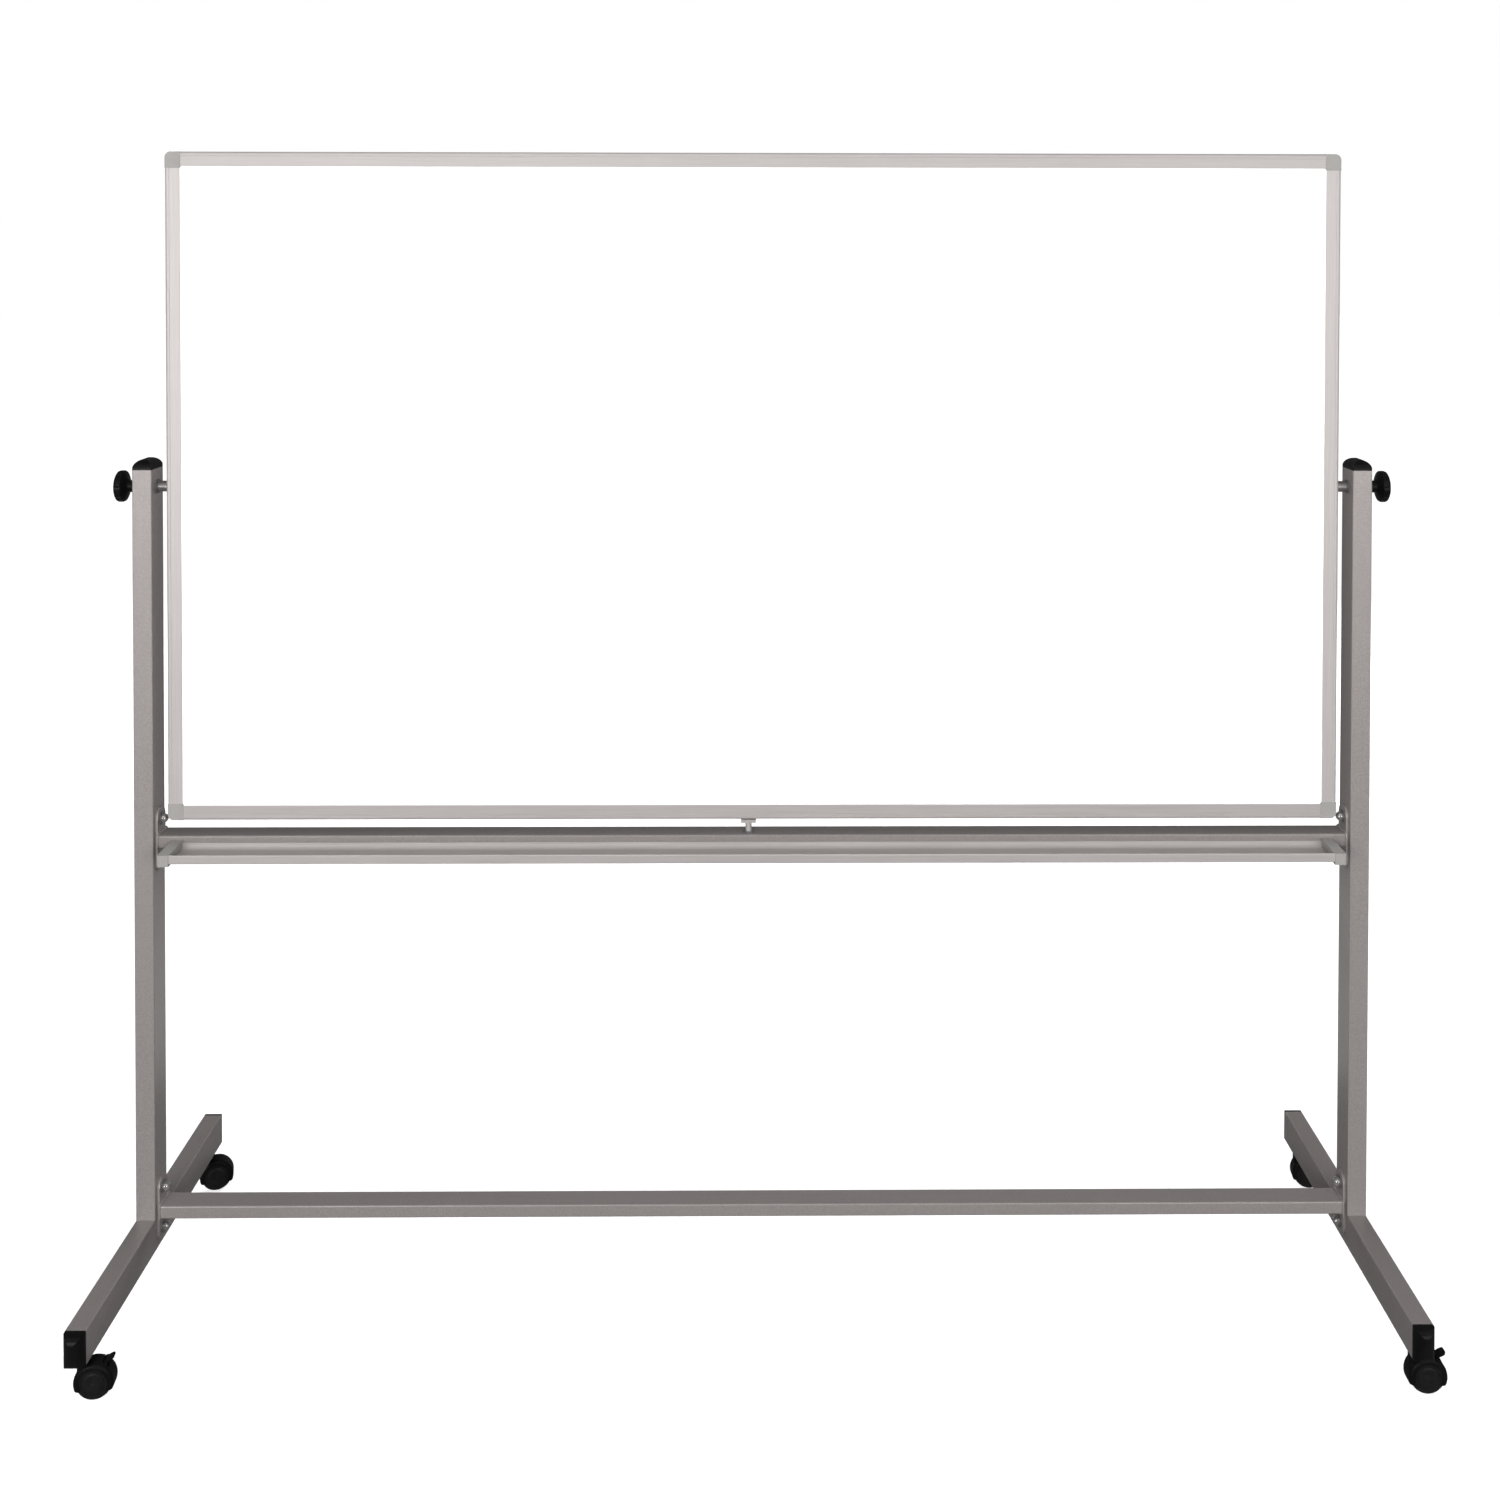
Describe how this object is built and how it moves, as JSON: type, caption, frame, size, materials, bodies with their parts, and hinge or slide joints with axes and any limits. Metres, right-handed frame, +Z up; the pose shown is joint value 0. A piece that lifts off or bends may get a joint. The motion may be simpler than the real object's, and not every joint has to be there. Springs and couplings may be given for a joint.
{
  "type": "rolling whiteboard",
  "caption": "Reversible magnetic whiteboard on a mobile H-stand with clamping knobs, marker tray, spring latch and swivel casters.",
  "frame": {"origin": "on the floor, midway between the posts and on their centre plane", "axes": "+X to the right of a person facing the writing side, +Y away from that person, +Z up"},
  "size_m": [1.9864, 0.602, 1.7795],
  "materials": {
    "frame_silver": "satin silver powder coat",
    "aluminium": "satin anodised, fine lengthwise grain",
    "grey_plastic": "silver-grey moulded plastic",
    "black_gloss_plastic": "black gloss moulded plastic",
    "caster_black": "black satin nylon",
    "wheel_black": "black nylon, slightly worn tread",
    "bright_steel": "bright plated",
    "plain_steel": "turned steel",
    "dark_plastic": "dark grey acetal",
    "writing_enamel": "gloss white dry-erase coating",
    "core_board": "particle board"
  },
  "bodies": {
    "stand": {"left_post": "frame_silver", "right_post": "frame_silver", "left_leg": "frame_silver", "right_leg": "frame_silver", "post_caps": "black_gloss_plastic", "leg_end_caps": "black_gloss_plastic", "lower_crossbar": "frame_silver", "upper_crossbar": "frame_silver", "crossbar_end_plates": "frame_silver", "crossbar_bolts": "bright_steel", "crossbar_washers": "bright_steel", "threaded_inserts": "plain_steel", "marker_tray": "aluminium", "left_tray_end_cap": "grey_plastic", "right_tray_end_cap": "grey_plastic", "tray_screws": "bright_steel", "caster_sockets": "dark_plastic", "pivot_bushings": "dark_plastic", "latch_bushings": "dark_plastic", "latch_spring": "plain_steel"},
    "board": {"front_writing_sheet": "writing_enamel", "rear_writing_sheet": "writing_enamel", "board_core": "core_board", "bottom_rail": "aluminium", "top_rail": "aluminium", "left_rail": "aluminium", "right_rail": "aluminium", "bottom_left_corner": "grey_plastic", "bottom_right_corner": "grey_plastic", "top_left_corner": "grey_plastic", "top_right_corner": "grey_plastic", "corner_screws": "bright_steel", "pivot_nut_bars": "plain_steel", "pivot_spacers": "bright_steel"},
    "left_knob": {"left_knob_grip": "black_gloss_plastic", "left_knob_stud": "bright_steel"},
    "right_knob": {"right_knob_grip": "black_gloss_plastic", "right_knob_stud": "bright_steel"},
    "latch": {"latch_plunger": "plain_steel", "latch_pull_knob": "dark_plastic"},
    "front_left_caster": {"front_left_caster_housing": "caster_black", "front_left_caster_pins": "plain_steel"},
    "front_left_front_wheel": {"front_left_caster_front_wheel": "wheel_black"},
    "front_left_back_wheel": {"front_left_caster_back_wheel": "wheel_black"},
    "front_left_brake": {"front_left_brake_lever": "caster_black"},
    "front_right_caster": {"front_right_caster_housing": "caster_black", "front_right_caster_pins": "plain_steel"},
    "front_right_front_wheel": {"front_right_caster_front_wheel": "wheel_black"},
    "front_right_back_wheel": {"front_right_caster_back_wheel": "wheel_black"},
    "front_right_brake": {"front_right_brake_lever": "caster_black"},
    "rear_left_caster": {"rear_left_caster_housing": "caster_black", "rear_left_caster_pins": "plain_steel"},
    "rear_left_front_wheel": {"rear_left_caster_front_wheel": "wheel_black"},
    "rear_left_back_wheel": {"rear_left_caster_back_wheel": "wheel_black"},
    "rear_right_caster": {"rear_right_caster_housing": "caster_black", "rear_right_caster_pins": "plain_steel"},
    "rear_right_front_wheel": {"rear_right_caster_front_wheel": "wheel_black"},
    "rear_right_back_wheel": {"rear_right_caster_back_wheel": "wheel_black"}
  },
  "joints": [
    {"name": "board_flip", "type": "hinge", "parent": "stand", "child": "board", "pos_m": [0, 0, 1.258], "axis": [1, 0, 0], "continuous": true},
    {"name": "left_knob_turn", "type": "hinge", "parent": "stand", "child": "left_knob", "pos_m": [-0.963, 0, 1.258], "axis": [-1, 0, 0], "range_deg": [0, 360]},
    {"name": "right_knob_turn", "type": "hinge", "parent": "stand", "child": "right_knob", "pos_m": [0.963, 0, 1.258], "axis": [1, 0, 0], "range_deg": [0, 360]},
    {"name": "latch_pull", "type": "slide", "parent": "stand", "child": "latch", "axis": [0, 0, 1], "range_m": [-0.008, 0], "stiffness_N_per_m": 400, "springref_m": 0.006, "deforming": ["latch_spring"]},
    {"name": "front_left_caster_swivel", "type": "hinge", "parent": "stand", "child": "front_left_caster", "pos_m": [-0.948, -0.2565, 0.063], "axis": [0, 0, 1], "continuous": true},
    {"name": "front_left_front_wheel_spin", "type": "hinge", "parent": "front_left_caster", "child": "front_left_front_wheel", "pos_m": [-0.93258, -0.25488, 0.025], "axis": [-0.1045, 0.9945, 0], "continuous": true},
    {"name": "front_left_back_wheel_spin", "type": "hinge", "parent": "front_left_caster", "child": "front_left_back_wheel", "pos_m": [-0.93258, -0.25488, 0.025], "axis": [-0.1045, 0.9945, 0], "continuous": true},
    {"name": "front_left_brake_tilt", "type": "hinge", "parent": "front_left_caster", "child": "front_left_brake", "pos_m": [-0.91767, -0.25331, 0.0485], "axis": [-0.1045, 0.9945, 0], "range_deg": [-12, 0]},
    {"name": "front_right_caster_swivel", "type": "hinge", "parent": "stand", "child": "front_right_caster", "pos_m": [0.948, -0.2565, 0.063], "axis": [0, 0, 1], "continuous": true},
    {"name": "front_right_front_wheel_spin", "type": "hinge", "parent": "front_right_caster", "child": "front_right_front_wheel", "pos_m": [0.9635, -0.25677, 0.025], "axis": [0.0175, 0.9998, 0], "continuous": true},
    {"name": "front_right_back_wheel_spin", "type": "hinge", "parent": "front_right_caster", "child": "front_right_back_wheel", "pos_m": [0.9635, -0.25677, 0.025], "axis": [0.0175, 0.9998, 0], "continuous": true},
    {"name": "front_right_brake_tilt", "type": "hinge", "parent": "front_right_caster", "child": "front_right_brake", "pos_m": [0.9785, -0.25703, 0.0485], "axis": [0.0175, 0.9998, 0], "range_deg": [-12, 0]},
    {"name": "rear_left_caster_swivel", "type": "hinge", "parent": "stand", "child": "rear_left_caster", "pos_m": [-0.948, 0.2565, 0.063], "axis": [0, 0, 1], "continuous": true},
    {"name": "rear_left_front_wheel_spin", "type": "hinge", "parent": "rear_left_caster", "child": "rear_left_front_wheel", "pos_m": [-0.93318, 0.26103, 0.025], "axis": [-0.2924, 0.9563, 0], "continuous": true},
    {"name": "rear_left_back_wheel_spin", "type": "hinge", "parent": "rear_left_caster", "child": "rear_left_back_wheel", "pos_m": [-0.93318, 0.26103, 0.025], "axis": [-0.2924, 0.9563, 0], "continuous": true},
    {"name": "rear_right_caster_swivel", "type": "hinge", "parent": "stand", "child": "rear_right_caster", "pos_m": [0.948, 0.2565, 0.063], "axis": [0, 0, 1], "continuous": true},
    {"name": "rear_right_front_wheel_spin", "type": "hinge", "parent": "rear_right_caster", "child": "rear_right_front_wheel", "pos_m": [0.96342, 0.25488, 0.025], "axis": [0.1045, 0.9945, 0], "continuous": true},
    {"name": "rear_right_back_wheel_spin", "type": "hinge", "parent": "rear_right_caster", "child": "rear_right_back_wheel", "pos_m": [0.96342, 0.25488, 0.025], "axis": [0.1045, 0.9945, 0], "continuous": true}
  ]
}
